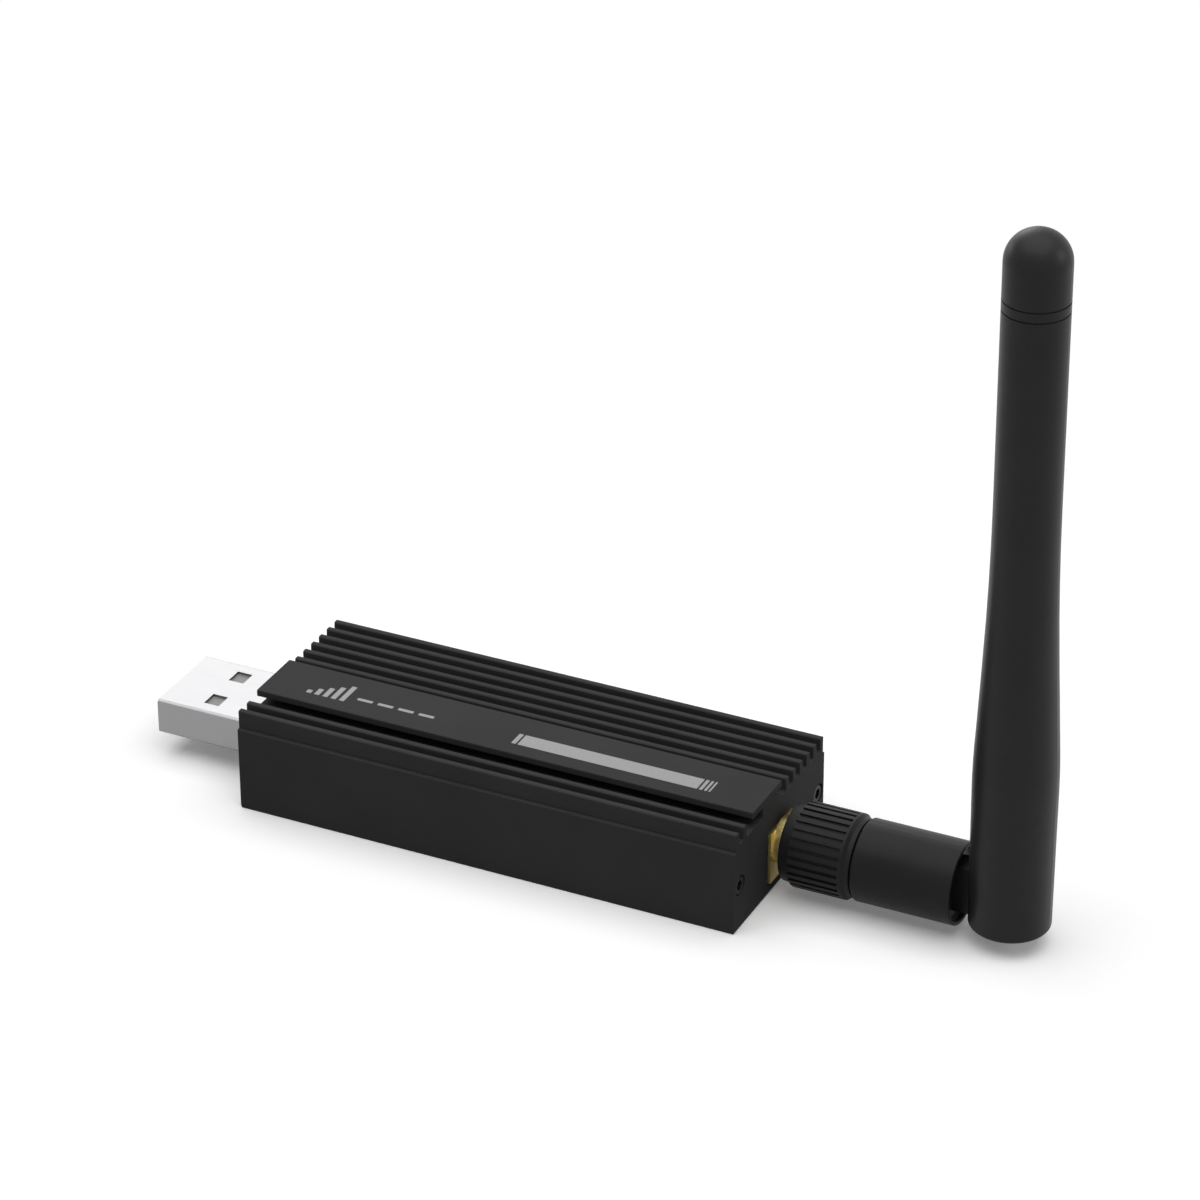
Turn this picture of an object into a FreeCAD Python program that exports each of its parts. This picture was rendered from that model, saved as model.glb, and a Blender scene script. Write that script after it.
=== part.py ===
import FreeCAD
import Part
import math
import os

from FreeCAD import Vector

# Smart home radio stick: a finned aluminium case that holds a circuit board with a USB-A plug at
# one end and a screw-on folding antenna at the other. Millimetres, X along the stick from the plug
# to the antenna, Y across, Z up. The origin is the centre of the case's bottom face.

# Case: driving sizes
case_length = 64.0
case_width = 25.0
fin_top = 13.0
plate_top = 13.5
plate_thickness = 0.85
deck_top = 11.25
roof_thickness = 1.15
side_wall = 1.3
floor_thickness = 1.2
ledge_width = 0.4
ledge_height = 10.7
bottom_edge_radius = 0.1

# Cooling fins and the raised name plate on the deck
fin_pitch = 1.95
fin_thickness = 0.8
fins_before_plate = 2
fins_after_plate = 6
fin_edge_radius = 0.2
groove_floor_radius = 0.3
plate_gap = 1.7
plate_back_gap = 1.25
plate_edge_radius = 0.12
plate_overhang_front = 2.75
plate_overhang_back = 1.9
web_flank_spread = 2.6

# End plates and their screws
end_plate_thickness = 1.8
end_plate_edge_chamfer = 0.12
end_plate_edge_chamfer_height = 0.45
screw_height = 5.75
screw_inset = 1.55
screw_thread_radius = 0.8
screw_hole_clearance = 0.05
screw_head_radius = 1.2
screw_head_height = 0.95
screw_head_edge_chamfer = 0.2
screw_head_recess = 0.1
screw_head_clearance = 0.1
screw_socket_across_flats = 1.2
screw_socket_depth = 0.55
screw_length = 6.0

# Antenna line: the jack, nut, hinge body and pivot share this height
antenna_height = 5.95

# Circuit board and its rails
board_thickness = 1.6
board_from_case_side = 3.2
board_end_clearance = 0.2
board_side_clearance = 0.05
board_slot_clearance = 0.1
rail_lip = 0.75
rail_above = 1.95
rail_below = 1.0

# USB-A plug
plug_reach = 14.85
plug_width = 12.0
plug_height = 4.5
plug_center_height = 5.25
plug_sheet = 0.3
plug_corner_radius = 0.45
plug_depth_in_case = 5.8
plug_opening_clearance = 0.1
plug_hole_length = 2.0
plug_hole_width = 2.3
plug_hole_from_tip = 5.35
plug_hole_center = 2.97
plug_core_setback = 0.8
plug_core_clearance = 0.02
plug_tongue_thickness = 1.95
plug_block_from_tip = 11.7
plug_tab_length = 1.4
plug_tab_reach = 1.1
contact_width = 1.0
contact_thickness = 0.2
contact_tail = 1.8
contact_step = 0.9
contact_places = (-3.5, -1.0, 1.0, 3.5)
contact_setbacks = (0.8, 1.8, 1.8, 0.8)

# Coaxial jack of the antenna, soldered to the board's edge
jack_flange_width = 6.4
jack_flange_height = 6.6
jack_flange_drop = 1.05
jack_flange_proud = 0.3
jack_opening_clearance = 0.15
jack_barrel_radius = 3.175
jack_barrel_length = 7.65
jack_relief_radius = 2.85
jack_relief_length = 0.9
jack_bore_radius = 1.9
jack_mouth_radius = 2.3
jack_mouth_depth = 1.9
jack_pin_radius = 0.4
jack_pin_length = 2.6
jack_leg_size = 1.1
jack_leg_length = 3.6
jack_leg_center = 2.6
socket_radius = 0.635
socket_bore_radius = 0.5
socket_bore_depth = 2.6
socket_setback = 0.1

# Antenna nut: metal core with a ribbed plastic grip
running_clearance = 0.05
thread_clearance = 0.075
end_play = 0.1
nut_gap = 1.4
nut_radius = 3.95
nut_front_setback = 0.2
nut_back_wall = 1.2
grip_radius = 5.07
grip_root_radius = 4.75
grip_mouth_radius = 4.6
grip_collar_length = 1.3
grip_rib_length = 6.25
grip_ring_length = 0.25
grip_chamfer_length = 0.4
grip_neck_length = 0.6
grip_neck_radius = 4.62
grip_back_wall = 0.4
grip_rib_count = 30
grip_groove_share = 0.42

# Antenna plug inside the nut
ferrule_collar_length = 0.7
ferrule_neck_radius = 2.6
ferrule_bore_radius = 2.0
ferrule_seat_length = 4.5
plug_insulator_setback = 0.2
plug_pin_radius = 0.45
plug_pin_reach = 2.2
lead_radius = 0.9
lead_channel_clearance = 0.05

# Hinge body of the antenna
hinge_gap = 0.2
hinge_radius = 4.89
hinge_length = 12.2
hinge_front_bevel = 0.2
hinge_rim_radius = 0.25
hinge_rim_width = 0.4
hinge_recess_depth = 0.8
lug_thickness = 3.0
lug_half_height = 2.9
pivot_from_hinge_body = 5.55
pivot_pin_radius = 0.9
pivot_pin_length = 7.0
lead_end_before_pivot = 2.4

# Antenna rod, upright at rest
rod_radius = 4.88
rod_foot_radius = 4.74
rod_top_radius = 3.75
rod_below_pivot = 3.55
rod_top = 88.2
rod_bottom_edge_radius = 0.4
taper_start = 22.65
taper_end = 46.15
taper_start_blend_radius = 100.0
taper_end_blend_radius = 380.0
tip_flat_radius = 0.06
rings_below_top = (9.15, 7.95)
ring_width = 0.18
ring_depth = 0.12
lug_side_clearance = 0.1
lug_end_clearance = 0.25
rod_bore_radius = 1.75
rod_bore_top_wall = 5.0
rod_lead_start = 3.5
rod_lead_top = 44.0
radiator_tube_bottom = 20.0
radiator_tube_wall = 0.25
radiator_tube_clearance = 0.05
whip_radius = 0.4
whip_end_clearance = 7.75
whip_spacer_length = 2.0
whip_spacer_from_top = 3.0

# Parts soldered to the board: sizes, then places as (from the board's end, from its middle or edge)
can_length = 16.0
can_width = 13.0
can_height = 1.9
can_sheet = 0.2
can_from_end = 17.0
radio_chip_size = (7.0, 7.0, 0.85)
radio_chip_from_can = (-2.5, 0.0)
radio_crystal_size = (2.5, 2.0, 0.6)
radio_crystal_from_can = (4.5, 2.5)
clock_crystal_size = (3.2, 1.5, 0.8)
clock_crystal_from_can = (4.3, -2.5)
antenna_filter_size = (2.0, 1.25, 0.9)
antenna_filter_from_can = (11.2, 0.0)
bridge_chip_size = (5.0, 5.0, 0.75)
bridge_chip_from_end = (14.5, 0.0)
regulator_size = (2.9, 1.6, 1.1)
regulator_from_end = (24.0, 4.3)
led_size = (1.6, 0.8, 0.6)
led_from_edge = 2.1
power_led_from_end = 10.5
status_led_from_end = 13.5
capacitor_size = (1.6, 0.8, 0.8)
capacitors_from_usb_end = ((9.0, 5.5), (9.0, 3.8), (19.5, 2.6), (19.5, -2.6))
capacitors_from_regulator = ((0.0, 2.4), (3.8, 0.0))
capacitor_from_can = (10.8, 3.4)
resistor_size = (1.0, 0.5, 0.35)
resistors_from_status_led = ((-4.0, 2.6), (-4.0, 3.8), (-0.5, 1.8), (1.5, 1.8))
resistors_from_usb_end = ((19.5, 0.0), (22.0, -1.0))
resistor_from_can = (10.8, -3.0)
switch_length = 4.0
switch_width = 3.0
switch_height = 1.6
switch_stem_radius = 0.8
switch_stem_out = 0.6
switch_stem_in = 0.7
switch_well_depth = 1.1
switch_from_edge = 3.1
boot_switch_from_can = 4.0
switch_spacing = 5.5

# Places worked out from the sizes above
half_length = case_length / 2
half_width = case_width / 2
cavity_top = deck_top - roof_thickness
end_plate_inner = half_length - end_plate_thickness
board_width = case_width - 2 * board_from_case_side
board_top = antenna_height - jack_pin_radius
board_bottom = board_top - board_thickness
board_half_length = end_plate_inner - board_end_clearance
rail_inner = board_width / 2 - rail_lip + board_side_clearance
fin_outer = half_width - ledge_width
last_back_fin = fin_outer - (fins_after_plate - 1) * fin_pitch - fin_thickness
front_fin_back = -fin_outer + (fins_before_plate - 1) * fin_pitch + fin_thickness
plate_front = front_fin_back + plate_gap
plate_back = last_back_fin - plate_back_gap
web_front = plate_front + plate_overhang_front
web_back = plate_back - plate_overhang_back
plate_bottom = plate_top - plate_thickness
screw_y = half_width - screw_inset
plug_tip = -half_length - plug_reach
plug_rear = -half_length + plug_depth_in_case
plug_ceiling = plug_center_height + plug_height / 2 - plug_sheet
tongue_bottom = plug_ceiling - plug_tongue_thickness
contact_bottom = tongue_bottom - contact_thickness
jack_flange_center = antenna_height - jack_flange_drop
jack_front = half_length + jack_flange_proud
jack_back = board_half_length
jack_end = jack_front + jack_barrel_length
mouth_start = jack_end - jack_mouth_depth
nut_front = jack_front + nut_gap
collar_start = jack_end + end_play
nut_wall_start = collar_start + ferrule_collar_length + end_play
nut_end = nut_wall_start + nut_back_wall
grip_end = nut_end + grip_back_wall
hinge_start = grip_end + hinge_gap
hinge_end = hinge_start + hinge_length
pivot_x = hinge_end + pivot_from_hinge_body
rod_bottom = antenna_height - rod_below_pivot
lug_slot_half = lug_thickness / 2 + lug_side_clearance
lug_sweep = lug_half_height + lug_end_clearance
rod_bore_top = rod_top - rod_bore_top_wall
whip_top = rod_bore_top - whip_end_clearance
plug_front = mouth_start + end_play
insulator_end = hinge_start + 1.5
can_center = (board_half_length - can_from_end, 0.0)
regulator_at = (-board_half_length + regulator_from_end[0], board_width / 2 - regulator_from_end[1])
led_y = led_from_edge - board_width / 2
power_led_at = (power_led_from_end - board_half_length, led_y)
status_led_at = (status_led_from_end - board_half_length, led_y)
switch_y = switch_from_edge - board_width / 2
boot_switch_at = (can_center[0] - can_length / 2 - boot_switch_from_can, switch_y)
reset_switch_at = (boot_switch_at[0] - switch_spacing, switch_y)
lead_end = pivot_x - lead_end_before_pivot


def save(name, shape):
    os.makedirs("parts", exist_ok=True)
    shape.exportStep("parts/" + name + ".step")


def block(x_range, y_range, z_range):
    size = [high - low for low, high in (x_range, y_range, z_range)]
    return Part.makeBox(size[0], size[1], size[2], Vector(x_range[0], y_range[0], z_range[0]))


def rod_x(radius, start, end, y=0.0, z=antenna_height):
    return Part.makeCylinder(radius, end - start, Vector(start, y, z), Vector(1, 0, 0))


def rod_z(radius, start, end, x=pivot_x, y=0.0):
    return Part.makeCylinder(radius, end - start, Vector(x, y, start), Vector(0, 0, 1))


def joined(shapes):
    whole = shapes[0]
    for shape in shapes[1:]:
        whole = whole.fuse(shape)
    return whole.removeSplitter()


def rounded_wire(corners, place):
    """A closed outline whose corners (a, b, radius) are rounded with tangent arcs."""
    count = len(corners)
    points = [Vector(a, b, 0) for a, b, radius in corners]
    starts = []
    middles = []
    ends = []
    for i in range(count):
        here = points[i]
        to_last = points[i - 1] - here
        to_next = points[(i + 1) % count] - here
        radius = corners[i][2]
        if radius == 0:
            starts.append(here)
            middles.append(None)
            ends.append(here)
            continue
        half_turn = to_last.getAngle(to_next) / 2
        shares = []
        for side, other in ((to_last, corners[i - 1]), (to_next, corners[(i + 1) % count])):
            shares.append(side.Length * (0.98 if other[2] == 0 else 0.49))
        reach = min(radius / math.tan(half_turn), min(shares))
        true_radius = reach * math.tan(half_turn)
        u = Vector(to_last).normalize()
        v = Vector(to_next).normalize()
        bisector = (u + v).normalize()
        starts.append(here + u * reach)
        middles.append(here + bisector * (true_radius / math.sin(half_turn) - true_radius))
        ends.append(here + v * reach)
    edges = []
    for i in range(count):
        if middles[i] is not None:
            arc = [place(p.x, p.y) for p in (starts[i], middles[i], ends[i])]
            edges.append(Part.Arc(arc[0], arc[1], arc[2]).toShape())
        line = [place(p.x, p.y) for p in (ends[i], starts[(i + 1) % count])]
        if (line[1] - line[0]).Length > 1e-6:
            edges.append(Part.LineSegment(line[0], line[1]).toShape())
    return Part.Wire(edges)


def profile_along_x(corners, start, end):
    """A solid whose (y, z) outline is drawn along X."""
    wire = rounded_wire(corners, lambda y, z: Vector(start, y, z))
    return Part.Face(wire).extrude(Vector(end - start, 0, 0))


def turned_about_x(corners):
    """A solid of revolution about the antenna line from (x, radius) corners."""
    wire = rounded_wire(corners, lambda x, r: Vector(x, 0, antenna_height + r))
    return Part.Face(wire).revolve(Vector(0, 0, antenna_height), Vector(1, 0, 0), 360)


def turned_about_rod(corners):
    """A solid of revolution about the upright rod's axis from (radius, z) corners."""
    wire = rounded_wire(corners, lambda r, z: Vector(pivot_x + r, 0, z))
    return Part.Face(wire).revolve(Vector(pivot_x, 0, 0), Vector(0, 0, 1), 360)


# Case: one aluminium extrusion with end plates cut to the same outline

def fin_corners(outer, direction, floor):
    """One fin seen from the end, from its outer foot over its top to its inner foot."""
    inner = outer + direction * fin_thickness
    return [
        (outer, floor, groove_floor_radius),
        (outer, fin_top, fin_edge_radius),
        (inner, fin_top, fin_edge_radius),
        (inner, deck_top, groove_floor_radius),
    ]


def case_outline():
    """The end view of the case, counter-clockwise from the front fin's back face."""
    corners = []
    for k in range(fins_before_plate):
        fin = fin_corners(-fin_outer + k * fin_pitch, 1, deck_top)
        corners = corners + fin
    corners[0] = (-fin_outer, ledge_height, 0)
    corners.append((web_front, deck_top, groove_floor_radius))
    corners.append((web_front, plate_bottom, 0))
    corners.append((plate_front, plate_bottom, plate_edge_radius))
    corners.append((plate_front, plate_top, plate_edge_radius))
    corners.append((plate_back, plate_top, plate_edge_radius))
    corners.append((plate_back, plate_bottom, plate_edge_radius))
    corners.append((web_back, plate_bottom, 0))
    corners.append((web_back + web_flank_spread, deck_top, 0))
    back_fins = []
    for k in range(fins_after_plate):
        back_fins = back_fins + fin_corners(fin_outer - k * fin_pitch, -1, deck_top)
    back_fins[0] = (fin_outer, ledge_height, 0)
    corners = corners + back_fins[::-1]
    corners.append((half_width, ledge_height, ledge_width / 2))
    corners.append((half_width, 0, bottom_edge_radius))
    corners.append((-half_width, 0, bottom_edge_radius))
    corners.append((-half_width, ledge_height, ledge_width / 2))
    return corners


def cavity_outline():
    """The hollow of the extrusion with the rails that carry the board's two long edges."""
    wall = half_width - side_wall
    groove = board_width / 2 + board_side_clearance
    right = [
        (wall, floor_thickness, 0),
        (wall, board_bottom - rail_below, 0),
        (rail_inner, board_bottom - rail_below, 0),
        (rail_inner, board_bottom, 0),
        (groove, board_bottom, 0),
        (groove, board_top + board_slot_clearance, 0),
        (rail_inner, board_top + board_slot_clearance, 0),
        (rail_inner, board_top + rail_above, 0),
        (wall, board_top + rail_above, 0),
        (wall, cavity_top, 0),
    ]
    left = [(-y, z, radius) for y, z, radius in right]
    return right + left[::-1]


def make_case():
    body = profile_along_x(case_outline(), -end_plate_inner, end_plate_inner)
    hollow = profile_along_x(cavity_outline(), -end_plate_inner, end_plate_inner)
    body = body.cut(hollow)
    thread_depth = screw_length - (end_plate_thickness - screw_head_height - screw_head_recess)
    for side in (-1, 1):
        for end in (-1, 1):
            mouth = end * end_plate_inner
            low, high = sorted((mouth, mouth - end * thread_depth))
            body = body.cut(rod_x(screw_thread_radius, low, high, side * screw_y, screw_height))
    return body


def make_end_plate(end):
    """An end plate with counterbored screw holes, on the side that end (-1 or 1) names."""
    inner = end * end_plate_inner
    outer = end * half_length
    low, high = sorted((inner, outer))
    plate = profile_along_x(case_outline(), low, high)
    plate = plate.cut(bottom_edge_wedge(outer, end))
    bore_depth = screw_head_height + screw_head_recess
    for side in (-1, 1):
        y = side * screw_y
        hole = rod_x(screw_thread_radius + screw_hole_clearance, low, high, y, screw_height)
        near, far = sorted((outer, outer - end * bore_depth))
        counterbore = rod_x(screw_head_radius + screw_head_clearance, near, far, y, screw_height)
        plate = plate.cut(hole).cut(counterbore)
    return plate


def bottom_edge_wedge(x, end):
    """The corner that the chamfer takes off an end plate's outer bottom edge."""
    y = -half_width
    inner = Vector(x - end * end_plate_edge_chamfer, y, 0)
    upper = Vector(x, y, end_plate_edge_chamfer_height)
    corners = [Vector(x, y, 0), inner, upper, Vector(x, y, 0)]
    return Part.Face(Part.makePolygon(corners)).extrude(Vector(0, case_width, 0))


def make_antenna_end_plate():
    half_y = jack_flange_width / 2 + jack_opening_clearance
    half_z = jack_flange_height / 2 + jack_opening_clearance
    window = block(
        (end_plate_inner, half_length),
        (-half_y, half_y),
        (jack_flange_center - half_z, jack_flange_center + half_z),
    )
    return make_end_plate(1).cut(window)


def make_usb_end_plate():
    window = profile_along_x(plug_outline(-plug_opening_clearance), -half_length, -end_plate_inner)
    return make_end_plate(-1).cut(window)


def make_screw(side, end):
    """A socket head screw; its head sits just below the end plate's face."""
    head_top = end * (half_length - screw_head_recess)
    head_base = head_top - end * screw_head_height
    tip = head_base - end * screw_length
    y = side * screw_y
    shoulder = head_top - end * screw_head_edge_chamfer
    head = turned_about_x([
        (head_base, 0, 0),
        (head_base, screw_head_radius, 0),
        (shoulder, screw_head_radius, 0),
        (head_top, screw_head_radius - screw_head_edge_chamfer, 0),
        (head_top, 0, 0),
    ])
    head.translate(Vector(0, y, screw_height - antenna_height))
    low, high = sorted((head_base, tip))
    shank = rod_x(screw_thread_radius, low, high, y, screw_height)
    corner = screw_socket_across_flats / math.sqrt(3)
    hexagon = []
    for k in range(6):
        angle = math.radians(60 * k)
        hexagon.append((y + corner * math.cos(angle), screw_height + corner * math.sin(angle), 0))
    low, high = sorted((head_top, head_top - end * screw_socket_depth))
    socket = profile_along_x(hexagon, low, high)
    return head.cut(socket).fuse(shank).removeSplitter()


# USB-A plug: a folded steel shell over a moulded core with four contacts

def plug_outline(inset):
    """The plug's rounded rectangle seen from its tip, made smaller all round by inset."""
    half_y = plug_width / 2 - inset
    half_z = plug_height / 2 - inset
    radius = max(plug_corner_radius - inset, 0.0)
    return [
        (-half_y, plug_center_height - half_z, radius),
        (half_y, plug_center_height - half_z, radius),
        (half_y, plug_center_height + half_z, radius),
        (-half_y, plug_center_height + half_z, radius),
    ]


def make_plug_shell():
    outer = profile_along_x(plug_outline(0), plug_tip, plug_rear)
    inner = profile_along_x(plug_outline(plug_sheet), plug_tip, plug_rear)
    shell = outer.cut(inner)
    hole_start = plug_tip + plug_hole_from_tip
    low = plug_center_height - plug_height
    high = plug_center_height + plug_height
    for side in (-1, 1):
        y = side * plug_hole_center
        span = (y - plug_hole_width / 2, y + plug_hole_width / 2)
        shell = shell.cut(block((hole_start, hole_start + plug_hole_length), span, (low, high)))
    tab_y = plug_width / 2 - plug_sheet / 2
    for side in (-1, 1):
        span = sorted((side * tab_y, side * (plug_width / 2 + plug_tab_reach)))
        tab = block((plug_rear - plug_tab_length, plug_rear), span, (board_top, board_top + plug_sheet))
        shell = shell.fuse(tab)
    return shell.removeSplitter()


def make_contact(y, setback):
    """One contact strip: flat under the tongue, stepped up to a tail on the board."""
    front = plug_tip + plug_core_setback + setback
    step_end = plug_rear - contact_step / 2
    step_start = step_end - contact_step
    tail_end = plug_rear + contact_tail
    side_view = [
        (front, contact_bottom),
        (step_start, contact_bottom),
        (step_end, board_top),
        (tail_end, board_top),
        (tail_end, board_top + contact_thickness),
        (step_end, board_top + contact_thickness),
        (step_start, tongue_bottom),
        (front, tongue_bottom),
    ]
    corners = [(x, z, 0) for x, z in side_view]
    wire = rounded_wire(corners, lambda x, z: Vector(x, y - contact_width / 2, z))
    return Part.Face(wire).extrude(Vector(0, contact_width, 0))


def make_plug_core(contacts):
    """The tongue under the shell's top, with a full-height block behind it for the contacts."""
    inset = plug_sheet + plug_core_clearance
    full = profile_along_x(plug_outline(inset), plug_tip + plug_core_setback, plug_rear)
    below = block(
        (plug_tip, plug_tip + plug_block_from_tip),
        (-plug_width, plug_width),
        (tongue_bottom - plug_height, tongue_bottom),
    )
    core = full.cut(below)
    for contact in contacts:
        core = core.cut(contact)
    return core


# Circuit board: slides in the rails, notched for the plug

def make_board():
    board = block(
        (-board_half_length, board_half_length),
        (-board_width / 2, board_width / 2),
        (board_bottom, board_top),
    )
    notch_half = plug_width / 2 + plug_opening_clearance
    notch = block(
        (-board_half_length, plug_rear + plug_opening_clearance),
        (-notch_half, notch_half),
        (board_bottom, board_top),
    )
    return board.cut(notch)


def from_usb_end(place):
    """A place on the board from (distance to its USB end, distance to its middle line)."""
    return (place[0] - board_half_length, place[1])


def beside(center, offset):
    return (center[0] + offset[0], center[1] + offset[1])


def on_board(center, size):
    """A block that stands on the board's top face."""
    x, y = center
    return block(
        (x - size[0] / 2, x + size[0] / 2),
        (y - size[1] / 2, y + size[1] / 2),
        (board_top, board_top + size[2]),
    )


def make_can():
    outer = on_board(can_center, (can_length, can_width, can_height))
    inner_size = (can_length - 2 * can_sheet, can_width - 2 * can_sheet, can_height - can_sheet)
    return outer.cut(on_board(can_center, inner_size))


def make_switch_body(center):
    body = on_board(center, (switch_length, switch_width, switch_height))
    top = board_top + switch_height
    radius = switch_stem_radius + running_clearance
    return body.cut(rod_z(radius, top - switch_well_depth, top, center[0], center[1]))


def make_switch_stem(center):
    top = board_top + switch_height
    return rod_z(switch_stem_radius, top - switch_stem_in, top + switch_stem_out, center[0], center[1])


# Coaxial jack on the board's edge, in line with the antenna

def make_jack_body():
    flange = block(
        (jack_back, jack_front),
        (-jack_flange_width / 2, jack_flange_width / 2),
        (jack_flange_center - jack_flange_height / 2, jack_flange_center + jack_flange_height / 2),
    )
    relief = rod_x(jack_relief_radius, jack_front, jack_front + jack_relief_length)
    barrel = rod_x(jack_barrel_radius, jack_front + jack_relief_length, jack_end)
    pieces = [flange, relief, barrel]
    for side in (-1, 1):
        y = side * jack_leg_center
        span = (y - jack_leg_size / 2, y + jack_leg_size / 2)
        reach = (jack_back - jack_leg_length, jack_back)
        pieces.append(block(reach, span, (board_top, board_top + jack_leg_size)))
        pieces.append(block(reach, span, (board_bottom - jack_leg_size, board_bottom)))
    body = joined(pieces)
    body = body.cut(rod_x(jack_bore_radius, jack_back, mouth_start))
    return body.cut(rod_x(jack_mouth_radius, mouth_start, jack_end))


def make_jack_insulator():
    sleeve = rod_x(jack_bore_radius, jack_back, mouth_start)
    return sleeve.cut(rod_x(socket_radius, jack_back, mouth_start))


def make_jack_contact():
    socket_end = mouth_start - socket_setback
    socket = rod_x(socket_radius, jack_back, socket_end)
    socket = socket.cut(rod_x(socket_bore_radius, socket_end - socket_bore_depth, socket_end))
    pin = rod_x(jack_pin_radius, jack_back - jack_pin_length, jack_back)
    return socket.fuse(pin).removeSplitter()


# Antenna nut: turns freely on the plug and screws onto the jack

def make_nut():
    front = nut_front + nut_front_setback
    bore = jack_barrel_radius + thread_clearance
    neck = ferrule_neck_radius + running_clearance
    return turned_about_x([
        (front, bore, 0),
        (front, nut_radius, 0),
        (nut_end, nut_radius, 0),
        (nut_end, neck, 0),
        (nut_wall_start, neck, 0),
        (nut_wall_start, bore, 0),
    ])


def make_grip():
    collar_end = nut_front + grip_collar_length
    rib_end = collar_end + grip_rib_length
    ring_end = rib_end + grip_ring_length
    chamfer_end = ring_end + grip_chamfer_length
    neck = ferrule_neck_radius + running_clearance
    grip = turned_about_x([
        (nut_front, nut_radius, 0),
        (nut_front, grip_mouth_radius, 0.15),
        (collar_end, grip_root_radius, 0),
        (collar_end, grip_radius, 0.1),
        (ring_end, grip_radius, 0.08),
        (chamfer_end, grip_neck_radius + 0.1, 0.08),
        (grip_end, grip_neck_radius, 0.08),
        (grip_end, neck, 0),
        (nut_end, neck, 0),
        (nut_end, nut_radius, 0),
    ])
    pitch = 2 * math.pi * grip_radius / grip_rib_count
    half_groove = pitch * grip_groove_share / 2
    floor = antenna_height + grip_root_radius
    groove = profile_along_x([
        (-half_groove, floor, 0.08),
        (half_groove, floor, 0.08),
        (half_groove * 1.3, floor + grip_radius, 0),
        (-half_groove * 1.3, floor + grip_radius, 0),
    ], collar_end, rib_end)
    grooves = []
    for k in range(grip_rib_count):
        turned = groove.copy()
        turned.rotate(Vector(0, 0, antenna_height), Vector(1, 0, 0), 360 / grip_rib_count * (k + 0.5))
        grooves.append(turned)
    return grip.cut(Part.makeCompound(grooves))


# Plug end of the antenna: ferrule, insulator, pin and the lead that feeds the rod

def make_ferrule():
    tube = jack_mouth_radius - running_clearance
    collar = jack_barrel_radius
    seat_end = hinge_start + ferrule_seat_length
    channel = lead_radius + lead_channel_clearance
    collar_end = collar_start + ferrule_collar_length
    return turned_about_x([
        (plug_front, ferrule_bore_radius, 0),
        (plug_front, tube, 0),
        (collar_start, tube, 0),
        (collar_start, collar, 0),
        (collar_end, collar, 0),
        (collar_end, ferrule_neck_radius, 0),
        (seat_end, ferrule_neck_radius, 0),
        (seat_end, channel, 0),
        (insulator_end, channel, 0),
        (insulator_end, ferrule_bore_radius, 0),
    ])


def make_plug_insulator():
    start = plug_front + plug_insulator_setback
    sleeve = rod_x(ferrule_bore_radius, start, insulator_end)
    return sleeve.cut(rod_x(plug_pin_radius, start, insulator_end))


def make_plug_pin():
    return rod_x(plug_pin_radius, plug_front - plug_pin_reach, insulator_end)


def make_lead_in_hinge():
    return rod_x(lead_radius, insulator_end, lead_end)


# Hinge body: a plastic barrel with a recessed end face and the lug of the pivot

def make_hinge_body():
    recess = hinge_end - hinge_recess_depth
    inner = hinge_radius - hinge_rim_width
    barrel = turned_about_x([
        (hinge_start, 0, 0),
        (hinge_start, hinge_radius - hinge_front_bevel, 0),
        (hinge_start + hinge_front_bevel, hinge_radius, 0.1),
        (hinge_end, hinge_radius, hinge_rim_radius),
        (hinge_end, inner, hinge_rim_width - hinge_rim_radius),
        (recess, inner, 0.1),
        (recess, 0, 0),
    ])
    half = lug_thickness / 2
    lug_face = block(
        (recess - 1.0, pivot_x),
        (-half, half),
        (antenna_height - lug_half_height, antenna_height + lug_half_height),
    )
    lug_end = Part.makeCylinder(
        lug_half_height, lug_thickness, Vector(pivot_x, -half, antenna_height), Vector(0, 1, 0)
    )
    body = joined([barrel, lug_face, lug_end])
    body = body.cut(rod_x(ferrule_neck_radius, hinge_start, hinge_start + ferrule_seat_length))
    body = body.cut(rod_x(lead_radius + lead_channel_clearance, hinge_start, lead_end))
    pin_hole = Part.makeCylinder(
        pivot_pin_radius, lug_thickness, Vector(pivot_x, -half, antenna_height), Vector(0, 1, 0)
    )
    return body.cut(pin_hole)


def make_pivot_pin(clearance=0.0):
    length = pivot_pin_length + 2 * clearance
    start = Vector(pivot_x, -length / 2, antenna_height)
    return Part.makeCylinder(pivot_pin_radius + clearance, length, start, Vector(0, 1, 0))


# Antenna rod: a moulded sheath over the lead, the radiator tube and the whip

def make_sheath():
    half_ring = ring_width / 2
    rings = []
    for height in (rod_top - drop for drop in rings_below_top):
        rings.append((rod_top_radius, height - half_ring, 0))
        rings.append((rod_top_radius - ring_depth, height - half_ring, 0))
        rings.append((rod_top_radius - ring_depth, height + half_ring, 0))
        rings.append((rod_top_radius, height + half_ring, 0))
    corners = [
        (0, rod_bottom, 0),
        (rod_foot_radius, rod_bottom, rod_bottom_edge_radius),
        (rod_radius, taper_start, taper_start_blend_radius),
        (rod_top_radius, taper_end, taper_end_blend_radius),
    ]
    corners = corners + rings
    corners.append((rod_top_radius, rod_top, rod_top_radius - tip_flat_radius))
    corners.append((0, rod_top, 0))
    sheath = turned_about_rod(corners)
    sheath = sheath.cut(rod_z(rod_bore_radius, antenna_height, rod_bore_top))
    return sheath.cut(lug_space()).cut(make_pivot_pin(running_clearance))


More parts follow.
